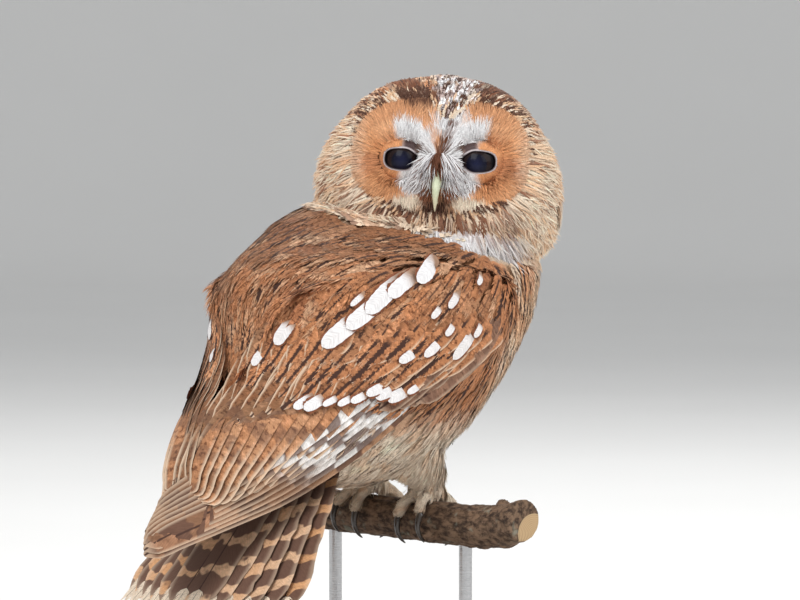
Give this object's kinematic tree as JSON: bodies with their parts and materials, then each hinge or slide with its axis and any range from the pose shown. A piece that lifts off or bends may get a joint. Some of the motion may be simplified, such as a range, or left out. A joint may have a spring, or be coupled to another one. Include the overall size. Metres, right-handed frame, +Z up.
{
  "type": "perched owl model",
  "caption": "Life-size tawny owl gripping a short branch and looking back over its right shoulder, held up by a plain round display stand.",
  "frame": {"origin": "centre of the round stand's underside, on the floor", "axes": "+Z up; the owl's body faces -Y and its right side is towards -X; its head is turned back towards -X and +Y"},
  "size_m": [0.224, 0.2659, 0.3477],
  "materials": {
    "plumage_rufous": "soft matt feathers, rufous brown with dark shaft streaks, pale bars and white spots",
    "plumage_buff": "soft matt feathers, buff to white with dark streaks",
    "plumage_face": "fine matt feathers, orange-rufous disc with white brows and a dark rim",
    "eye": "glossy, near black",
    "bill": "smooth horn, pale greenish",
    "talon": "smooth dark horn",
    "foot_feathers": "short soft feathers, whitish buff",
    "bark": "rough grey-brown spruce bark, pale cut ends",
    "stand_wood": "dark stained wood, satin",
    "stand_steel": "brushed steel"
  },
  "bodies": {
    "root": {"trunk": "plumage_buff", "neck": "plumage_rufous", "wing_right": "plumage_rufous", "wing_left": "plumage_rufous", "tail": "plumage_rufous", "head": "plumage_face", "eye_right": "eye", "eye_left": "eye", "bill_upper": "bill", "bill_lower": "bill", "leg_right": "foot_feathers", "leg_left": "foot_feathers", "foot_right": "foot_feathers", "foot_left": "foot_feathers", "perch": "bark", "stand_base": "stand_wood", "stand_rod_right": "stand_steel", "stand_rod_left": "stand_steel", "talon_right_inner": "talon", "talon_right_middle": "talon", "talon_right_outer": "talon", "talon_right_hind": "talon", "talon_left_inner": "talon", "talon_left_middle": "talon", "talon_left_outer": "talon", "talon_left_hind": "talon"}
  },
  "joints": []
}
